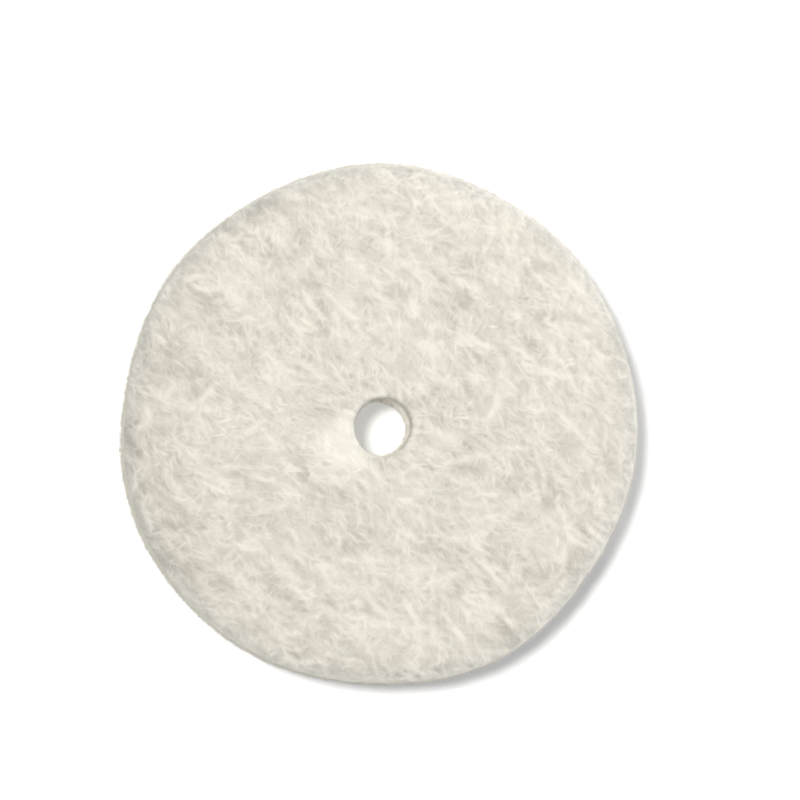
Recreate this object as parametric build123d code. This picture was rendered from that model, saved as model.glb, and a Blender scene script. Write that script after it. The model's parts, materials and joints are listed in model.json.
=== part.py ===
from build123d import *

import os

# A felt polishing wheel for a small rotary tool: a flat disc of pressed wool felt with an arbor bore.
# It lies on its back face, in the plane Z = 0, and spins about +Z. The origin is where the axis of the
# bore meets the back face. Sizes are in millimetres.
#
# Pressed felt is laid up from plies of carded wool, each with its fibres across those of the next, and
# the stack is fulled into one mat. Each ply is one bored solid here, and they lie face to face.

wheel_diameter = 25.4
wheel_thickness = 3.2
bore_diameter = 2.8

# The cutting die leaves the rim and the mouths of the bore sharp, and handling rounds them.
rim_rounding = 0.3
bore_rounding = 0.15

# From the back face to the front face.
ply_names = ["back_ply", "back_cross_ply", "core_ply", "front_cross_ply", "front_ply"]
ply_thickness = wheel_thickness / len(ply_names)


def bored_disc(bottom):
    """A plain ply, with its underside at the height given."""
    on_base = (Align.CENTER, Align.CENTER, Align.MIN)
    disc = Cylinder(wheel_diameter / 2, ply_thickness, align=on_base)
    bore = Cylinder(bore_diameter / 2, ply_thickness, align=on_base)
    return Pos(0, 0, bottom) * (disc - bore)


def rounded(ply, height):
    """The ply with the edges of its face at the height given rounded, at the rim and at the bore."""
    for smallest_or_largest, rounding in ((-1, rim_rounding), (0, bore_rounding)):
        circles = ply.edges().filter_by(GeomType.CIRCLE).filter_by_position(Axis.Z, height, height)
        ply = fillet(circles.sort_by(SortBy.RADIUS)[smallest_or_largest], rounding)
    return ply


def wheel_plies():
    """Every ply by name, stacked from the back face up."""
    plies = {name: bored_disc(index * ply_thickness) for index, name in enumerate(ply_names)}
    plies["back_ply"] = rounded(plies["back_ply"], 0)
    plies["front_ply"] = rounded(plies["front_ply"], wheel_thickness)
    return plies


os.makedirs("parts", exist_ok=True)
for name, ply in wheel_plies().items():
    ply.label = name
    export_step(ply, f"parts/{name}.step")
    print(f"{name}: {ply.volume:.1f} cubic mm")
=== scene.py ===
import json
import math

import bpy
import numpy as np
from mathutils import Matrix, Vector


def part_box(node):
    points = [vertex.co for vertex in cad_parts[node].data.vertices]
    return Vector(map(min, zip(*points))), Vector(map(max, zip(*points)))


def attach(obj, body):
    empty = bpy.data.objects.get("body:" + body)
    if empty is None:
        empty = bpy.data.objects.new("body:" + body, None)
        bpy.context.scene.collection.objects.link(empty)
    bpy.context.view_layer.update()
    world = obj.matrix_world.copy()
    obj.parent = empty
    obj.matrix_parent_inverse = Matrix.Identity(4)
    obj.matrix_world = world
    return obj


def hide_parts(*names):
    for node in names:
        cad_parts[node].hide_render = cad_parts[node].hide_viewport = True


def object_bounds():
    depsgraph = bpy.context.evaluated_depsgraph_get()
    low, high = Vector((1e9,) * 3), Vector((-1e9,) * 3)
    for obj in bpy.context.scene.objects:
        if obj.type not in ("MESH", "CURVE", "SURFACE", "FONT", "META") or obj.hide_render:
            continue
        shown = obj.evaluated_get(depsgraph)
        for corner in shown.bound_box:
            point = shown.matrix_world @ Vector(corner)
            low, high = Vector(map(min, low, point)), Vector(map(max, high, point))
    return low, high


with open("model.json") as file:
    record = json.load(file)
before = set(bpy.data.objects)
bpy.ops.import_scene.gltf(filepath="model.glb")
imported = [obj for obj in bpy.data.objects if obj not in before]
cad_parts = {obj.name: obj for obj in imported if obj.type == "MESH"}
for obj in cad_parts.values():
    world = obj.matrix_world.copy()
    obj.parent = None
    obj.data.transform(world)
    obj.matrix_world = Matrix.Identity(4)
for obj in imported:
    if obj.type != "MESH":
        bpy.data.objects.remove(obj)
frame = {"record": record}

# A felt polishing wheel lying on its back face. Lengths are in metres, in the frame of the CAD model:
# the bore's axis is Z and the back face is at Z = 0.

cad_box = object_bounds()
MM = 0.001
THICKNESS = cad_box[1][2] - cad_box[0][2]
WHEEL_RADIUS = (cad_box[1][0] - cad_box[0][0]) / 2
BORE = next(m for m in frame["record"]["mounts"] if m["name"] == "arbor_bore")
BORE_RADIUS = BORE["dims"]["r_mm"] * MM

# The wheel was cut by hand from a soft sheet: it is a little out of round, and its bore is too.
# Each wave is (turns, share of the radius, where it peaks in degrees).
RIM_WAVES = [
    (1, 0.0093, 123),
    (2, 0.0062, 69),
    (3, 0.0047, 87),
    (4, 0.0035, 21),
    (5, 0.0037, 5),
    (7, 0.0045, 40),
]
BORE_WAVES = [(2, 0.015, 80), (3, 0.008, 15)]
RIM_ROUNDING = 0.22 * MM
BORE_ROUNDING = 0.15 * MM
CROWN_WIDTH = 3.0 * MM  # the faces fall away towards the rim over this width
CROWN_DROP = 0.30 * MM
MAT_INSET = 0.06 * MM  # the mat lies this much inside the CAD faces, and its loose wool fills the rest
MAT_RADIUS = WHEEL_RADIUS - MAT_INSET
FACE_DEPTH = MAT_INSET + RIM_ROUNDING + CROWN_DROP  # how far from a CAD face its mat meets the rim's wall
SEAM_WANDER = 0.12 * MM  # how far the seams between the plies wander up and down
SEAM_CELL = 1.8 * MM  # and over about what length
SEAM_RINGS = (0.002, 0.35, 0.7, 0.998)  # a seam's mesh rings, as shares of the way from bore to rim

GRID = 0.055 * MM  # the spacing of the felt mat's mesh
TURNS = 1400  # mesh columns round the wheel

# The matted surface. Layers of hills: their width and height in mm, and how much of it shows on the walls.
RELIEF = [(2.4, 0.035, 0.1), (1.1, 0.020, 0.2), (0.55, 0.020, 0.35), (0.28, 0.012, 0.7)]
STREAKS = [(0.35, 0.25), (0.15, 0.40)]  # heights in mm of the streaks on the cut, and their shares
STREAK_STRETCH = 4.5  # how much longer than high they are
CLUMPS = [(0.55, 1.0), (0.32, 0.9), (0.18, 0.6)]  # widths in mm of the matted clumps, and their shares
CLUMP_STRETCH = 1.7  # how much longer than wide they are, the way the wool is combed

# The wool on the faces is drawn as soft strokes on a square map of the face's flat pattern.
WISPS = {
    "tufts": 7500,
    "per_tuft": 3,
    "lengths": (0.40 * MM, 1.2 * MM),
    "widths": (0.043 * MM, 0.070 * MM),
    "scatter": 0.48,  # how far their headings stray, in radians
}
LOCKS = {
    "tufts": 1300,
    "per_tuft": 2,
    "lengths": (0.9 * MM, 2.8 * MM),
    "widths": (0.12 * MM, 0.20 * MM),
    "scatter": 0.25,
}
WISP_SHARE, LOCK_SHARE, CLUMP_SHARE = 0.15, 0.14, 0.098  # how strongly each shows
WISP_HEIGHT = 0.045 * MM  # how far the highest strokes stand above the lowest ground
NO_WISPS = 0.5  # the height, from 0 to 1, of a skin that has none drawn on it
COMBED = math.radians(-38)  # most strokes lie along this heading
COMB_DRIFT = 0.9  # and drift from it by up to this angle in radians
COMB_CELL = 3.5 * MM  # in patches about this wide
TUFT_SPREAD = 0.25 * MM  # how far strokes start from the middle of their tuft
STROKE_STEPS = 40
MAP_STEP = 0.04 * MM
MAP_HALF = 17.5 * MM
MAP_SIZE = round(2 * MAP_HALF / MAP_STEP)

# Where the wool is darker or less warm: painted shade on the faces near the rim and on the bore's wall, the
# walls' cut, partly painted shade, and the greyed edge of the faces. Sides are headings from the axis.
RIM_SHADE_WIDTH = 2.2 * MM
RIM_SHADE_SIDE = math.radians(238)  # where round the rim the faces' painted shade is darkest
DARKEST_WALL_SIDE = math.radians(196)  # and where the walls' cut, partly painted shade, is darkest
GREYED_WIDTH = 0.9 * MM  # the faces lose their warm tint over this last bit before the rim
# Painted shade on the bore's wall: how far from the wall it reaches, how far down, and the side where it is
# darkest
BORE_SHADE_WIDTH = 0.2 * MM
BORE_SHADE_DEPTH = 1.4 * MM  # down the bore from either face
BORE_SHADE_SIDE = math.radians(65)

# Loose strands and hairs, as thin tubes.
SIDES = 3  # of a tube's section
FACE_TUFT, WALL_TUFT = 4, 3  # strands in a tuft
FACE_SPREAD, WALL_SPREAD = 0.18 * MM, 0.1 * MM  # how far they start from its middle
STRAND_STEPS = 9
STRAND_FLATNESS = 0.14  # strands are pressed flat, to this share of their width
STRAND_SINK = 0.006 * MM  # they weave in and out of the mat by this much
OVERHANG = 0.15 * MM  # how far they hang over an edge before the cut
WALL_MARGIN = 0.4 * MM  # how far they stay from the edges on the walls
HAIR_STEPS = 4
HAIR_LENGTHS = (0.06 * MM, 0.22 * MM)
HAIR_WIDTHS = (0.012 * MM, 0.022 * MM)
HAIR_ROOT = 0.02 * MM  # how deep a hair starts in the mat

# Colours, as linear red, green and blue.
# The cut's colours on the walls, darker than the faces: partly the die's pressed cut and partly painted
# shade
CUT_DARK, CUT_LIGHT = (0.455, 0.438, 0.385), (0.56, 0.545, 0.487)
GREYED_TINT = (0.92, 0.955, 0.985)
# Painted shade that darkens the faces near the rim
RIM_SHADE_TINT = (0.90, 0.90, 0.895)
PALE_WOOL = (0.95, 0.92, 0.85)
PALE_PLACE = (-1.6 * MM, -0.95 * MM, THICKNESS)  # the middle of a paler patch beside the bore
PALE_REACH = (0.4 * MM, 2.3 * MM)  # it fades out between these distances from there

# The camera: a long lens that looks almost straight down, from a little to the lower left.
VIEW_TARGET = (0.86 * MM, 1.32 * MM, THICKNESS)
VIEW_DISTANCE = 300 * MM
VIEW_WIDTH = 39.07 * MM
VIEW_TILT, VIEW_SIDE = math.radians(6.0), math.radians(212)


def soft_noise(points, cell, seed):
    """Smooth random values from -1 to 1 at points in space, with features about a cell wide."""
    table_size = 8192
    table = np.random.default_rng(seed).uniform(-1, 1, table_size)
    place = points / cell + seed * 17.31  # each seed looks at another part of the table
    low = np.floor(place).astype(np.int64)
    share = place - low
    share = share * share * share * (share * (share * 6 - 15) + 10)
    total = np.zeros(len(points))
    for corner in np.ndindex(2, 2, 2):
        cube = low + corner
        key = cube[:, 0] * 73856093 ^ cube[:, 1] * 19349663 ^ cube[:, 2] * 83492791  # large primes
        weight = np.prod(np.where(corner, share, 1 - share), axis=1)
        total += weight * table[key & (table_size - 1)]
    return total


def relief(points, normals):
    """How far the matted surface stands out of its mean skin at each point.

    The die cuts the walls smooth, so there the broad hills are faint and only the fine ones stay.
    """
    facing = np.abs(normals[:, 2])
    total = np.zeros(len(points))
    for seed, (cell, height, on_walls) in enumerate(RELIEF):
        share = on_walls + (1 - on_walls) * facing
        total += height * MM * share * soft_noise(points, cell * MM, seed)
    return total


def cut_streaks(points):
    """How much lighter or darker the cut is at each point, in streaks along the layers of wool."""
    first_seed = 20
    shrunk = points * (1 / STREAK_STRETCH, 1 / STREAK_STRETCH, 1)
    total = np.zeros(len(points))
    for row, (cell, share) in enumerate(STREAKS):
        total += share * soft_noise(shrunk, cell * MM, first_seed + row)
    return total


def wandering_paths(starts, headings, lengths, curls, steps, rng):
    """Curved, slightly wavering paths on a flat pattern."""
    along = np.linspace(0, 1, steps)[None, :]
    wavering = 0.35  # how far a heading strays, in radians, by the end of its path
    waver = rng.normal(0, wavering / math.sqrt(steps), (len(starts), steps)).cumsum(axis=1)
    heading = headings[:, None] + curls[:, None] * along + waver
    step = lengths[:, None] / (steps - 1)
    moves = np.stack([np.cos(heading) * step, np.sin(heading) * step], axis=-1)
    moves[:, 0] = 0
    return starts[:, None, :] + np.cumsum(moves, axis=1)


def flat_noise(places, cell, seed):
    """Smooth random values from -1 to 1 over a flat pattern."""
    return soft_noise(np.column_stack([places, np.zeros(len(places))]), cell, seed)


def stroke_layer(rng, seed, tufts, per_tuft, lengths, widths, scatter):
    """Heights from 0 to 1 of soft strokes over the flat pattern of a face.

    They lie over and under each other, in tufts that follow the way the face is combed.
    """
    outmost = 1.04 * WHEEL_RADIUS
    reach = np.sqrt(rng.uniform(0, outmost**2, tufts))
    angle = rng.uniform(0, 2 * math.pi, tufts)
    tuft = np.repeat(np.arange(tufts), per_tuft)
    count = len(tuft)
    starts = np.stack([reach * np.cos(angle), reach * np.sin(angle)], axis=-1)[tuft]
    starts = starts + rng.normal(0, TUFT_SPREAD, (count, 2))
    headings = COMBED + COMB_DRIFT * flat_noise(starts, COMB_CELL, seed)
    headings += rng.normal(0, scatter, tufts)[tuft] + rng.normal(0, scatter, count)
    curls = rng.normal(0, 0.5, tufts)[tuft] + rng.normal(0, 0.35, count)
    paths = wandering_paths(starts, headings, rng.uniform(*lengths, count), curls, STROKE_STEPS, rng)
    strength = rng.uniform(0.25, 1.0, tufts)[tuft] * rng.uniform(0.5, 1.0, count)
    bluntness = 0.3  # a low power keeps a stroke strong nearly to its ends
    fade = np.sin(math.pi * np.linspace(0, 1, STROKE_STEPS)) ** bluntness
    value = (strength[:, None] * fade).ravel()
    width = rng.uniform(*widths, count) / MAP_STEP
    spread = np.repeat(width, STROKE_STEPS)
    cell = ((paths + MAP_HALF) / MAP_STEP).reshape(-1, 2)
    near = np.round(cell).astype(int)
    offset = cell - near
    heights = np.zeros(MAP_SIZE**2)
    stamp = math.ceil(2.5 * width.max())  # beyond this many cells a stroke's soft edge is nothing
    for across in range(-stamp, stamp + 1):
        for along in range(-stamp, stamp + 1):
            away = (across - offset[:, 0]) ** 2 + (along - offset[:, 1]) ** 2
            place = (near[:, 0] + across) * MAP_SIZE + near[:, 1] + along
            np.maximum.at(heights, place, value * np.exp(-away / (2 * spread**2)))
    return heights.reshape(MAP_SIZE, MAP_SIZE)


def clumps(seed):
    """Heights of the matted clumps between the strokes, over the flat pattern of a face."""
    u, v = np.indices((MAP_SIZE, MAP_SIZE)).reshape(2, -1) * MAP_STEP
    along = (u * math.cos(COMBED) + v * math.sin(COMBED)) / CLUMP_STRETCH
    places = np.stack([along, v * math.cos(COMBED) - u * math.sin(COMBED)], axis=-1)
    heights = np.zeros(MAP_SIZE**2)
    for row, (cell, share) in enumerate(CLUMPS):
        heights += share * flat_noise(places, cell * MM, seed + row)
    return heights.reshape(MAP_SIZE, MAP_SIZE)


def wool_map(seed):
    """Heights from 0 to 1 of a face's combed wool: fine wisps and broader locks over matted clumps."""
    rng = np.random.default_rng(seed)
    wisps = stroke_layer(rng, seed, **WISPS)
    locks = stroke_layer(rng, seed, **LOCKS)
    total = 0.5
    for share, layer in ((WISP_SHARE, wisps), (LOCK_SHARE, locks), (CLUMP_SHARE, clumps(seed))):
        drawn = layer[wisps > 0]
        total = total + share * (layer - drawn.mean()) / drawn.std()
    return np.clip(total, 0, 1)


def sampled(heights, u, v):
    """The height of a face's wool at places on its flat pattern."""
    place = np.stack([(u + MAP_HALF) / MAP_STEP, (v + MAP_HALF) / MAP_STEP])
    low = np.floor(place).astype(int)
    x, y = place - low
    i, j = low
    return (
        heights[i, j] * (1 - x) * (1 - y)
        + heights[i + 1, j] * x * (1 - y)
        + heights[i, j + 1] * (1 - x) * y
        + heights[i + 1, j + 1] * x * y
    )


def waved(radius, waves, angle):
    """The radius of a nearly round outline at each angle."""
    share = sum(size * np.cos(turns * (angle - math.radians(peak))) for turns, size, peak in waves)
    return radius * (1 + share)


def at(reach, angle, height):
    """Points, or directions, at a reach and an angle about the bore's axis, and at a height."""
    return np.stack(np.broadcast_arrays(reach * np.cos(angle), reach * np.sin(angle), height), axis=-1)


def on_wall(angle, height, radius, waves, outward):
    """Points and normals on the rim (outward 1) or on the bore's wall (outward -1)."""
    return at(waved(radius, waves, angle), angle, height), at(outward, angle, 0.0)


def on_face(u, v, face):
    """Points and normals on the "front" or the "back", from places on a flat pattern of it.

    The pattern's middle is the face itself. Past the edges it folds down over the rim and into the bore.
    """
    reach, angle = np.hypot(u, v), np.arctan2(v, u)
    rim = waved(MAT_RADIUS, RIM_WAVES, angle)
    bore = waved(BORE_RADIUS, BORE_WAVES, angle)
    over_rim = reach - (rim - RIM_ROUNDING)
    into_bore = (bore + BORE_ROUNDING) - reach
    to_rim = np.clip(1 + over_rim / CROWN_WIDTH, 0, 1)
    crown = CROWN_DROP * to_rim**2
    radius, depth = reach, np.zeros_like(reach)
    outward, up = 2 * CROWN_DROP / CROWN_WIDTH * to_rim, np.ones_like(reach)
    for past, edge, rounding, side in (
        (over_rim, rim, RIM_ROUNDING, 1),
        (into_bore, bore, BORE_ROUNDING, -1),
    ):
        turn = np.clip(past / rounding, 0, math.pi / 2)
        folded = past > 0
        straight = np.maximum(past - rounding * math.pi / 2, 0)
        radius = np.where(folded, edge - side * rounding * (1 - np.sin(turn)), radius)
        depth = np.where(folded, rounding * (1 - np.cos(turn)) + straight, depth)
        outward = np.where(folded, side * np.sin(turn), outward)
        up = np.where(folded, np.cos(turn), up)
    inside = MAT_INSET + depth + crown
    if face == "front":
        return at(radius, angle, THICKNESS - inside), at(outward, angle, up)
    return at(radius, angle, inside), at(outward, angle, -up)


def one_sided(angle, side, mean, swing):
    """A share that is greatest towards one side of the axis."""
    return mean + swing * np.cos(angle - side)


def wear_and_shade(points, normals):
    """How much of three darkenings the wool gets at each point, from 0 to 1.

    The cut is the walls' colour, partly the die's pressed cut and partly painted shade, and on the bore's
    wall it is painted shade. The rim shade is painted shade on the faces near the rim, and grey is how far
    the faces have lost their warm tint where they meet it.
    """
    reach, angle = np.hypot(points[:, 0], points[:, 1]), np.arctan2(points[:, 1], points[:, 0])
    facing = np.abs(normals[:, 2])
    to_rim = waved(WHEEL_RADIUS, RIM_WAVES, angle) - reach
    from_bore = reach - waved(BORE_RADIUS, BORE_WAVES, angle)
    depth = np.minimum(points[:, 2], THICKNESS - points[:, 2])
    # Painted shade on the bore's wall, darkest near the faces and on one side
    bore_shade = np.clip(1 - from_bore / BORE_SHADE_WIDTH, 0, 1)
    bore_shade *= np.clip(1 - depth / BORE_SHADE_DEPTH, 0, 1)
    bore_shade *= one_sided(angle, BORE_SHADE_SIDE, mean=0.8, swing=0.4)
    # The rim's cut: partly the die's pressed cut and partly painted shade, darkest on one side
    cut_and_shade_at_rim = one_sided(angle, DARKEST_WALL_SIDE, mean=0.55, swing=0.45)
    cut_and_shade_at_rim *= np.clip(1 - 2 * facing, 0, 1)
    # Painted shade on the faces near the rim, darkest on one side
    rim_shade = one_sided(angle, RIM_SHADE_SIDE, mean=0.55, swing=0.45)
    rim_shade *= np.clip(1 - to_rim / RIM_SHADE_WIDTH, 0, 1)
    return {
        "cut": np.clip(np.where(reach < 2 * BORE_RADIUS, bore_shade, cut_and_shade_at_rim), 0, 1),
        "rim_shade": rim_shade * facing,
        "grey": np.clip(1 - to_rim / GREYED_WIDTH, 0, 1) * facing,
    }


def make_object(name, points, faces, attributes=None, smooth=True):
    """A new mesh object, with named values at its points."""
    mesh = bpy.data.meshes.new(name)
    mesh.from_pydata(points.tolist(), [], faces)
    mesh.polygons.foreach_set("use_smooth", np.full(len(mesh.polygons), smooth))
    for key, values in (attributes or {}).items():
        mesh.attributes.new(key, "FLOAT", "POINT").data.foreach_set("value", values.astype(np.float32))
    mesh.update()
    thing = bpy.data.objects.new(name, mesh)
    bpy.context.scene.collection.objects.link(thing)
    return thing


# The felt mat, ply by ply

WOOL_MAPS = {"front": wool_map(11), "back": wool_map(12)}


def mesh_shares(length):
    """Shares of a length from 0 to just short of 1, about a mesh step apart."""
    return np.linspace(0, 1, max(2, round(length / GRID)), endpoint=False)


def wander(reach, angle, height):
    """How far the seam between two plies wanders from its mean height, and nothing at the faces."""
    seed = 7
    inside = FACE_DEPTH < height < THICKNESS - FACE_DEPTH
    return SEAM_WANDER * soft_noise(at(reach, angle, height), SEAM_CELL, seed) * inside


def ply_section(bottom, top):
    """One ply's section at every angle: rings of points, their normals and the height of the wool there.

    The rings go up the bore's wall, out over the ply's top, down the rim and back in underneath.
    """
    close = 0.01 * MM
    is_back, is_front = bottom < close, top > THICKNESS - close
    angle = np.linspace(0, 2 * math.pi, TURNS, endpoint=False)
    bore = waved(BORE_RADIUS, BORE_WAVES, angle)
    rim = waved(MAT_RADIUS, RIM_WAVES, angle)
    no_wisps = np.full(TURNS, NO_WISPS)
    rings = []

    def add_wall(radius, waves, outward, start, end):
        edge = waved(radius, waves, angle)
        start, end = (height + wander(edge, angle, height) for height in (start, end))
        for share in mesh_shares(top - bottom):
            height = start + share * (end - start)
            rings.append((*on_wall(angle, height, radius, waves, outward), no_wisps))

    def add_face(face):
        longer = math.pi / 2 - 1  # how much longer a rounded edge is, flat, than its rounding
        start = bore - longer * BORE_ROUNDING
        end = rim + longer * RIM_ROUNDING
        shares = mesh_shares(WHEEL_RADIUS - BORE_RADIUS)
        for share in shares if face == "front" else shares[::-1]:
            reach = start + share * (end - start)
            u, v = reach * np.cos(angle), reach * np.sin(angle)
            rings.append((*on_face(u, v, face), sampled(WOOL_MAPS[face], u, v)))

    def add_seam(height, shares):
        for share in shares:
            reach = bore + share * (rim - bore)
            points = at(reach, angle, height + wander(reach, angle, height))
            rings.append((points, np.zeros_like(points), no_wisps))

    low_rim = FACE_DEPTH if is_back else bottom
    high_rim = THICKNESS - FACE_DEPTH if is_front else top
    low_bore = MAT_INSET + BORE_ROUNDING if is_back else bottom
    high_bore = THICKNESS - MAT_INSET - BORE_ROUNDING if is_front else top
    add_wall(BORE_RADIUS, BORE_WAVES, -1, low_bore, high_bore)
    if is_front:
        add_face("front")
    else:
        add_seam(top, SEAM_RINGS)
    add_wall(MAT_RADIUS, RIM_WAVES, 1, high_rim, low_rim)
    if is_back:
        add_face("back")
    else:
        add_seam(bottom, SEAM_RINGS[::-1])
    return rings


def faces_between(rings):
    """The faces between each ring of points and the next, and between the last and the first."""
    ring = np.arange(rings)[:, None] * TURNS
    next_ring = (np.arange(rings) + 1)[:, None] % rings * TURNS
    column = np.arange(TURNS)[None, :]
    next_column = (column + 1) % TURNS
    corners = [next_ring + column, next_ring + next_column, ring + next_column, ring + column]
    return np.stack(corners, axis=-1).reshape(-1, 4).tolist()


def felt_ply(name, node, material):
    """One ply of the mat as a closed mesh, displaced by the relief where its skin shows."""
    low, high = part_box(node)
    rings = ply_section(low[2], high[2])
    points, normals, wisps = (np.concatenate(parts) for parts in zip(*rings))
    facing = np.abs(normals[:, 2])
    height = relief(points, normals) + WISP_HEIGHT * (wisps - NO_WISPS) * facing
    points = points + normals * height[:, None]
    # The mat is lighter on the high strokes and darker in the low ground between them: partly the wool's
    # own tone, partly painted shade
    tone = 0.5 + (wisps - NO_WISPS) * facing + cut_streaks(points) * (1 - facing)
    tone = np.clip(tone, 0, 1)
    hollow_shade = 1.5 - tone  # the low ground between the strokes gets more of each darkening: painted shade in the hollows
    attributes = {way: np.clip(hollow_shade * share, 0, 1) for way, share in wear_and_shade(points, normals).items()}
    attributes["tone"] = tone
    ply = make_object(name, points, faces_between(len(rings)), attributes)
    ply.data.materials.append(material)
    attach(ply, "root")
    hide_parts(node)
    return ply


# Loose strands and hairs

def flat_paths(starts, headings, lengths, curls, allowed, rng):
    """Curved paths on a flat pattern, each cut where it first leaves the allowed part of it.

    Paths that come out too short are dropped, and the second result says which are kept.
    """
    fine, fewest = 25, 5
    paths = wandering_paths(starts, headings, lengths, curls, fine, rng)
    good = np.cumprod(allowed(paths[..., 0], paths[..., 1]), axis=1).sum(axis=1) - 1
    kept = good >= fewest
    place = np.linspace(0, 1, STRAND_STEPS)[None, :] * good[:, None]
    before = np.minimum(place.astype(int), fine - 2)
    share = (place - before)[..., None]
    row = np.arange(len(paths))[:, None]
    return (paths[row, before] * (1 - share) + paths[row, before + 1] * share)[kept], kept


def tubes(name, lines, radii, tones, worn_and_shaded, flatness=1.0):
    """A mesh of thin closed tubes along the lines: (count, steps, 3).

    Each tube has one tone, and each point of its line carries how much of each darkening it gets, painted
    shade among them.
    """
    tip, widening = 0.35, 6  # a tube's ends are thin, and it is full about a tenth of the way along
    tiny = 1e-12
    count, steps = lines.shape[:2]
    tangent = np.gradient(lines, axis=1)
    tangent /= np.maximum(np.linalg.norm(tangent, axis=2, keepdims=True), tiny)
    steep = np.abs(tangent[..., 2:3]) > 0.9
    helper = np.where(steep, [1.0, 0, 0], [0, 0, 1.0])
    across = np.cross(tangent, helper)
    across /= np.linalg.norm(across, axis=2, keepdims=True)
    upward = np.cross(across, tangent)
    along = np.linspace(0, 1, steps)
    taper = np.clip(np.minimum(along, 1 - along) * widening + tip, 0, 1)
    radius = radii[:, None] * taper[None, :]
    turn = math.pi / 2 + np.arange(SIDES) * 2 * math.pi / SIDES
    around = (
        np.cos(turn)[None, None, :, None] * across[:, :, None, :]
        + flatness * np.sin(turn)[None, None, :, None] * upward[:, :, None, :]
    )
    points = (lines[:, :, None, :] + radius[:, :, None, None] * around).reshape(-1, 3)
    first = (np.arange(count) * steps * SIDES)[:, None, None]
    ring = (np.arange(steps - 1) * SIDES)[None, :, None]
    side = np.arange(SIDES)[None, None, :]
    next_side = (side + 1) % SIDES
    a, b = first + ring + side, first + ring + next_side
    quads = np.stack([a, b, b + SIDES, a + SIDES], axis=-1).reshape(-1, 4)
    caps = first[:, 0] + np.arange(SIDES)
    faces = quads.tolist() + caps[:, ::-1].tolist() + (caps + (steps - 1) * SIDES).tolist()
    attributes = {way: np.repeat(share, SIDES) for way, share in worn_and_shaded.items()}
    attributes["tone"] = np.repeat(tones, steps * SIDES)
    return make_object(name, points, faces, attributes, smooth=False)


def fuzz(name, points, normals, seed, material):
    """Short hairs that stand off the skin, each leaning its own way."""
    rise, bend = 0.8, 0.7  # shares of a hair's length
    rng = np.random.default_rng(seed)
    count = len(points)
    lean = rng.normal(0, 1, (count, 3))
    lean -= normals * (lean * normals).sum(axis=1, keepdims=True)
    reach = rng.uniform(*HAIR_LENGTHS, count)[:, None, None]
    along = np.linspace(0, 1, HAIR_STEPS)[None, :, None]
    foot = points + normals * (relief(points, normals)[:, None] - HAIR_ROOT)
    lines = foot[:, None] + reach * (normals[:, None] * along * rise + lean[:, None] * along**2 * bend)
    tones = np.clip(rng.normal(0.6, 0.2, count), 0, 1)
    worn_and_shaded = {way: np.repeat(share, HAIR_STEPS) for way, share in wear_and_shade(points, normals).items()}
    thing = tubes(name, lines, rng.uniform(*HAIR_WIDTHS, count) / 2, tones, worn_and_shaded)
    thing.data.materials.append(material)
    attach(thing, "root")
    return thing


def strands(name, rng, skin, allowed, centres, lie, spread, material, count, lengths, widths, lift):
    """Strands in loose tufts that wander over a skin, each dipping into the mat at its ends.

    Each tuft has a centre, and its strands share a heading, a curl and a tone, more or less.
    """
    tuft = rng.integers(0, len(centres), count)
    starts = centres[tuft] + rng.normal(0, spread, (count, 2))
    headings = lie[tuft] + rng.normal(0, 0.35, count)
    curls = rng.normal(0, 0.8, len(centres))[tuft] + rng.normal(0, 0.4, count)
    tones = rng.normal(0.5, 0.16, len(centres))[tuft] + rng.normal(0, 0.10, count)
    flat, kept = flat_paths(starts, headings, rng.uniform(*lengths, count), curls, allowed, rng)
    count = len(flat)
    u, v = flat.reshape(-1, 2).T
    points, normals, wisps = skin(u, v)
    height = relief(points, normals) + WISP_HEIGHT * (wisps - NO_WISPS) * np.abs(normals[:, 2])
    along = np.linspace(0, 1, STRAND_STEPS)[None, :]
    arch = np.sin(math.pi * along) * rng.uniform(*lift, count)[:, None]
    weave = np.sin(along * rng.uniform(6, 14, count)[:, None] + rng.uniform(0, 6.3, count)[:, None])
    height = height.reshape(count, STRAND_STEPS) + arch + (weave - 1) * STRAND_SINK
    lines = (points + normals * height.reshape(-1, 1)).reshape(count, STRAND_STEPS, 3)
    radii = rng.uniform(*widths, count) / 2
    thing = tubes(name, lines, radii, np.clip(tones[kept], 0, 1), wear_and_shade(points, normals), STRAND_FLATNESS)
    thing.data.materials.append(material)
    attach(thing, "root")
    return thing


def face_strands(name, face, seed, material, count, **sizes):
    """Strands that lie every way on a face, and hang a little over its edges."""
    rng = np.random.default_rng(seed)
    tufts = count // FACE_TUFT
    inmost, outmost = 0.9 * BORE_RADIUS, 1.03 * WHEEL_RADIUS
    reach = np.sqrt(rng.uniform(inmost**2, outmost**2, tufts))
    angle = rng.uniform(0, 2 * math.pi, tufts)
    centres = np.stack([reach * np.cos(angle), reach * np.sin(angle)], axis=-1)
    lie = rng.uniform(0, 2 * math.pi, tufts)

    def skin(u, v):
        return *on_face(u, v, face), sampled(WOOL_MAPS[face], u, v)

    def allowed(u, v):
        reach, angle = np.hypot(u, v), np.arctan2(v, u)
        rim = waved(WHEEL_RADIUS, RIM_WAVES, angle)
        bore = waved(BORE_RADIUS, BORE_WAVES, angle)
        return (reach < rim + OVERHANG) & (reach > bore - OVERHANG / 2)

    return strands(name, rng, skin, allowed, centres, lie, FACE_SPREAD, material, count, **sizes)


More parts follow.
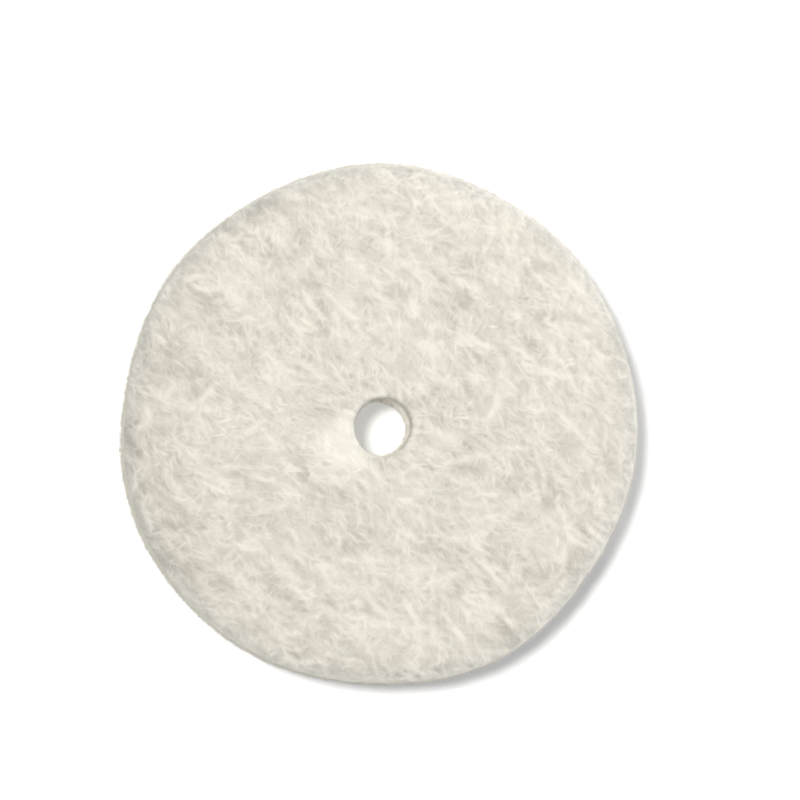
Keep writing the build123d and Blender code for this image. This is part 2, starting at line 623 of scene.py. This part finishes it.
def wall_strands(name, radius, waves, outward, seed, material, count, **sizes):
    """Strands that lie along the layers of wool, on the rim (outward 1) or the bore's wall (outward -1)."""
    rng = np.random.default_rng(seed)
    tufts = count // WALL_TUFT
    around = rng.uniform(0, 2 * math.pi * radius, tufts)
    centres = np.stack([around, rng.uniform(WALL_MARGIN, THICKNESS - WALL_MARGIN, tufts)], axis=-1)
    lie = rng.normal(0, 0.25, tufts) + math.pi * rng.integers(0, 2, tufts)

    def skin(u, v):
        return *on_wall(u / radius, v, radius, waves, outward), NO_WISPS

    def allowed(u, v):
        return (v > WALL_MARGIN) & (v < THICKNESS - WALL_MARGIN)

    return strands(name, rng, skin, allowed, centres, lie, WALL_SPREAD, material, count, **sizes)


# Materials

def new_material(name):
    """A material with its nodes, their links and its shader."""
    material = bpy.data.materials.new(name)
    material.use_nodes = True
    nodes = material.node_tree.nodes
    return material, nodes, material.node_tree.links, nodes["Principled BSDF"]


def mapped(nodes, links, rise=1):
    """Object coordinates in millimetres, for a pattern whose height along Z is rise times its width."""
    place = nodes.new("ShaderNodeTexCoord")
    mapping = nodes.new("ShaderNodeMapping")
    mapping.vector_type = "TEXTURE"
    mapping.inputs["Scale"].default_value = (MM, MM, MM * rise)
    links.new(place.outputs["Object"], mapping.inputs["Vector"])
    return mapping.outputs["Vector"]


def noise(nodes, links, vector, scale, detail, distortion=0.0):
    """Noise with features about 1 / scale wide."""
    texture = nodes.new("ShaderNodeTexNoise")
    texture.inputs["Scale"].default_value = scale
    texture.inputs["Detail"].default_value = detail
    texture.inputs["Distortion"].default_value = distortion
    links.new(vector, texture.inputs["Vector"])
    return texture.outputs["Fac"]


def ranged(nodes, links, value, low, high, out_low=0.0, out_high=1.0):
    """The value, taken smoothly from the range low to high to the range out_low to out_high."""
    remap = nodes.new("ShaderNodeMapRange")
    remap.interpolation_type = "SMOOTHSTEP"
    remap.inputs["From Min"].default_value = low
    remap.inputs["From Max"].default_value = high
    remap.inputs["To Min"].default_value = out_low
    remap.inputs["To Max"].default_value = out_high
    links.new(value, remap.inputs["Value"])
    return remap.outputs["Result"]


def mixed(nodes, links, share, first, second, blend="MIX"):
    """A mix of two colours, each a colour value or a socket."""
    mix = nodes.new("ShaderNodeMix")
    mix.data_type = "RGBA"
    mix.blend_type = blend
    for socket, colour in ((mix.inputs[6], first), (mix.inputs[7], second)):
        if isinstance(colour, tuple):
            socket.default_value = (*colour, 1)
        else:
            links.new(colour, socket)
    links.new(share, mix.inputs[0])
    return mix.outputs[2]


def maths(nodes, links, kind, first, second):
    """The sum or product of two values, each a number or a socket."""
    node = nodes.new("ShaderNodeMath")
    node.operation = kind
    for socket, value in zip(node.inputs, (first, second)):
        if isinstance(value, (int, float)):
            socket.default_value = value
        else:
            links.new(value, socket)
    return node.outputs[0]


def attribute(nodes, name):
    """One of the values that the meshes hold at their points."""
    node = nodes.new("ShaderNodeAttribute")
    node.attribute_name = name
    return node.outputs["Fac"]


def broad_clouds(nodes, links, vector):
    """Soft clouds from 0 to 1, a few millimetres across."""
    clouds = noise(nodes, links, vector, scale=0.35, detail=3.0, distortion=0.4)
    return ranged(nodes, links, clouds, 0.35, 0.65)


def pressed_layers(nodes, links):
    """Bands from 0 to 1 that run round the walls, where the layers of wool were pressed together."""
    bands = noise(nodes, links, mapped(nodes, links, rise=0.2), scale=1.1, detail=3.0, distortion=0.3)
    return ranged(nodes, links, bands, 0.35, 0.65)


def paler_patch(nodes, links, colour):
    """The colour, a little paler in a soft patch beside the bore."""
    place = nodes.new("ShaderNodeTexCoord")
    away = nodes.new("ShaderNodeVectorMath")
    away.operation = "DISTANCE"
    links.new(place.outputs["Object"], away.inputs[0])
    away.inputs[1].default_value = PALE_PLACE
    share = ranged(nodes, links, away.outputs["Value"], *PALE_REACH, out_low=0.42, out_high=0.0)
    return mixed(nodes, links, share, colour, PALE_WOOL)


def worn_and_shaded(nodes, links, colour, cut_and_shade_colour):
    """The colour, less warm and with painted shade towards the rim, and the cut's colour, partly painted
    shade, on the walls.
    """
    colour = mixed(nodes, links, attribute(nodes, "grey"), colour, GREYED_TINT, "MULTIPLY")
    colour = mixed(nodes, links, attribute(nodes, "rim_shade"), colour, RIM_SHADE_TINT, "MULTIPLY")
    return mixed(nodes, links, attribute(nodes, "cut"), colour, cut_and_shade_colour)


def soften(shader):
    """Wool's dull surface and faint edge sheen."""
    shader.inputs["Specular IOR Level"].default_value = 0.15
    shader.inputs["Sheen Weight"].default_value = 0.25
    shader.inputs["Sheen Roughness"].default_value = 0.5
    shader.inputs["Sheen Tint"].default_value = (1.0, 0.97, 0.92, 1)


def felt_material(name, dark, middle, light):
    """The mat's wool: dark to middle in clouds between the strokes and light on them, partly its own tone
    and partly painted shade, and soft inside.
    """
    material, nodes, links, shader = new_material(name)
    plain = mapped(nodes, links)
    cut_and_shade_colour = mixed(nodes, links, pressed_layers(nodes, links), CUT_DARK, CUT_LIGHT)
    colour = mixed(nodes, links, broad_clouds(nodes, links, plain), dark, middle)
    colour = paler_patch(nodes, links, mixed(nodes, links, attribute(nodes, "tone"), colour, light))
    links.new(worn_and_shaded(nodes, links, colour, cut_and_shade_colour), shader.inputs["Base Color"])
    grain = noise(nodes, links, plain, scale=14, detail=2.0)
    roughness = ranged(nodes, links, grain, 0.3, 0.7, out_low=0.86, out_high=1.0)
    links.new(roughness, shader.inputs["Roughness"])
    shader.inputs["Subsurface Weight"].default_value = 0.75
    shader.inputs["Subsurface Radius"].default_value = (1.0, 0.95, 0.9)
    shader.inputs["Subsurface Scale"].default_value = 0.25 * MM
    soften(shader)
    return material


def strand_material(name, dark, light, cut_and_shade_colour):
    """A loose strand's wool, from dark to light by the strand's own tone and by broad clouds."""
    material, nodes, links, shader = new_material(name)
    clouds = broad_clouds(nodes, links, mapped(nodes, links))
    by_tone = maths(nodes, links, "MULTIPLY", attribute(nodes, "tone"), 0.65)
    by_clouds = maths(nodes, links, "MULTIPLY", clouds, 0.35)
    share = maths(nodes, links, "ADD", by_tone, by_clouds)
    colour = paler_patch(nodes, links, mixed(nodes, links, share, dark, light))
    links.new(worn_and_shaded(nodes, links, colour, cut_and_shade_colour), shader.inputs["Base Color"])
    shader.inputs["Roughness"].default_value = 0.8
    soften(shader)
    return material


# The studio

def white_floor():
    """A plain pale floor, 3 m across, under the wheel."""
    half = 1.5
    corners = np.array([(-half, -half, 0), (half, -half, 0), (half, half, 0), (-half, half, 0)])
    floor = make_object("floor", corners, [[0, 1, 2, 3]])
    material, nodes, links, shader = new_material("floor_white")
    shader.inputs["Base Color"].default_value = (0.9, 0.9, 0.9, 1)
    shader.inputs["Roughness"].default_value = 0.9
    shader.inputs["Specular IOR Level"].default_value = 0.0
    floor.data.materials.append(material)


def camera():
    """A long lens that looks almost straight down on the front face."""
    back = Vector(at(math.sin(VIEW_TILT), VIEW_SIDE, math.cos(VIEW_TILT)))
    right = Vector((0, 1, 0)).cross(back).normalized()
    up = back.cross(right)
    lens = bpy.data.cameras.new("camera")
    lens.sensor_width = 36
    lens.lens = lens.sensor_width * VIEW_DISTANCE / VIEW_WIDTH
    view = bpy.data.objects.new("camera", lens)
    place = Vector(VIEW_TARGET) + back * VIEW_DISTANCE
    view.matrix_world = Matrix.Translation(place) @ Matrix((right, up, back)).transposed().to_4x4()
    bpy.context.scene.collection.objects.link(view)
    bpy.context.scene.camera = view


def sun(name, azimuth, elevation, strength, size, colour, shadow=True):
    """A broad distant light. Its azimuth, elevation and size are in degrees."""
    light = bpy.data.lights.new(name, "SUN")
    light.energy = strength
    light.angle = math.radians(size)
    light.color = colour
    light.use_shadow = shadow
    thing = bpy.data.objects.new(name, light)
    azimuth, elevation = math.radians(azimuth), math.radians(elevation)
    towards = Vector(at(math.cos(elevation), azimuth, math.sin(elevation)))
    thing.rotation_euler = towards.to_track_quat("Z", "Y").to_euler()
    bpy.context.scene.collection.objects.link(thing)


def near_lamp():
    """A weak lamp close by at the upper right, whose light falls off across the wheel."""
    light = bpy.data.lights.new("near_lamp", "POINT")
    light.energy = 0.0145
    light.shadow_soft_size = 5 * MM
    thing = bpy.data.objects.new("near_lamp", light)
    thing.location = (22 * MM, 39 * MM, 26 * MM)
    thing.visible_camera = False
    bpy.context.scene.collection.objects.link(thing)


def studio():
    """A dim pale world, a key from the upper left, a soft fill, and a low card that lights the rim."""
    world = bpy.data.worlds.new("studio")
    bpy.context.scene.world = world
    world.use_nodes = True
    background = world.node_tree.nodes["Background"]
    background.inputs["Color"].default_value = (0.94, 0.955, 1.0, 1)
    background.inputs["Strength"].default_value = 0.16
    sun("key", azimuth=158, elevation=71, strength=2.48, size=12.5, colour=(1.0, 0.985, 0.955))
    sun("fill", azimuth=35, elevation=32, strength=1.32, size=20, colour=(0.955, 0.967, 1.0), shadow=False)
    sun("card", azimuth=294, elevation=12, strength=0.88, size=30, colour=(0.98, 0.985, 1.0), shadow=False)
    near_lamp()
    bpy.context.scene.view_settings.view_transform = "Standard"


# The wheel, piece by piece

def felt_plies(face_material, core_material):
    """The five plies from the back up, each laid on the one below."""
    for piece_name, node in (
        ("back_felt", "back_ply"),
        ("back_cross_felt", "back_cross_ply"),
        ("core_felt", "core_ply"),
        ("front_cross_felt", "front_cross_ply"),
        ("front_felt", "front_ply"),
    ):
        outer = node in ("back_ply", "front_ply")
        piece = felt_ply(piece_name, node, face_material if outer else core_material)


def loose_wool(face_material, core_material):
    """Strands on both faces, on the rim and on the bore's wall."""
    piece = face_strands(
        "front_wool", "front", 40, face_material, count=1300,
        lengths=(0.6 * MM, 1.8 * MM), widths=(0.022 * MM, 0.044 * MM), lift=(0, 0.008 * MM),
    )
    piece = face_strands(
        "back_wool", "back", 60, face_material, count=2000,
        lengths=(0.6 * MM, 1.8 * MM), widths=(0.025 * MM, 0.05 * MM), lift=(0, 0.01 * MM),
    )
    piece = wall_strands(
        "rim_wool", MAT_RADIUS, RIM_WAVES, 1, 80, core_material, count=4200,
        lengths=(0.4 * MM, 1.4 * MM), widths=(0.025 * MM, 0.05 * MM), lift=(0, 0.022 * MM),
    )
    piece = wall_strands(
        "bore_wool", BORE_RADIUS, BORE_WAVES, -1, 90, core_material, count=400,
        lengths=(0.3 * MM, 1.0 * MM), widths=(0.03 * MM, 0.06 * MM), lift=(0, 0.03 * MM),
    )


def short_fuzz(face_material, core_material):
    """Hairs on the bore's wall, on the rim, and on both faces close to the rim."""
    rng = np.random.default_rng(100)
    for name, hairs, margin, wall, seed in (
        ("bore_fuzz", 900, 0.2 * MM, (BORE_RADIUS, BORE_WAVES, -1), 105),
        ("rim_fuzz", 6000, 0.3 * MM, (MAT_RADIUS, RIM_WAVES, 1), 101),
    ):
        angle = rng.uniform(0, 2 * math.pi, hairs)
        height = rng.uniform(margin, THICKNESS - margin, hairs)
        piece = fuzz(name, *on_wall(angle, height, *wall), seed, core_material)
    hairs = 6000
    past_rim, scatter = 0.05 * MM, 0.5 * MM
    for name, face, seed in (("front_edge_fuzz", "front", 102), ("back_edge_fuzz", "back", 103)):
        angle = rng.uniform(0, 2 * math.pi, hairs)
        rim = waved(WHEEL_RADIUS, RIM_WAVES, angle)
        reach = rim + past_rim - np.abs(rng.normal(0, scatter, hairs))
        skin = on_face(reach * np.cos(angle), reach * np.sin(angle), face)
        piece = fuzz(name, *skin, seed, face_material)


camera()
studio()
white_floor()

face_felt = felt_material("face_felt", (0.50, 0.470, 0.418), (0.575, 0.544, 0.488), (0.775, 0.739, 0.669))
core_felt = felt_material("core_felt", (0.60, 0.578, 0.522), (0.68, 0.656, 0.594), (0.84, 0.81, 0.745))
# Each third colour is the strands' colour on the cut: partly the die's pressed cut and partly painted shade
face_wool = strand_material("face_wool", (0.66, 0.625, 0.56), (0.79, 0.752, 0.68), (0.50, 0.49, 0.435))
core_wool = strand_material("core_wool", (0.64, 0.615, 0.557), (0.79, 0.76, 0.69), (0.55, 0.535, 0.472))

felt_plies(face_felt, core_felt)
loose_wool(face_wool, core_wool)
short_fuzz(face_wool, core_wool)
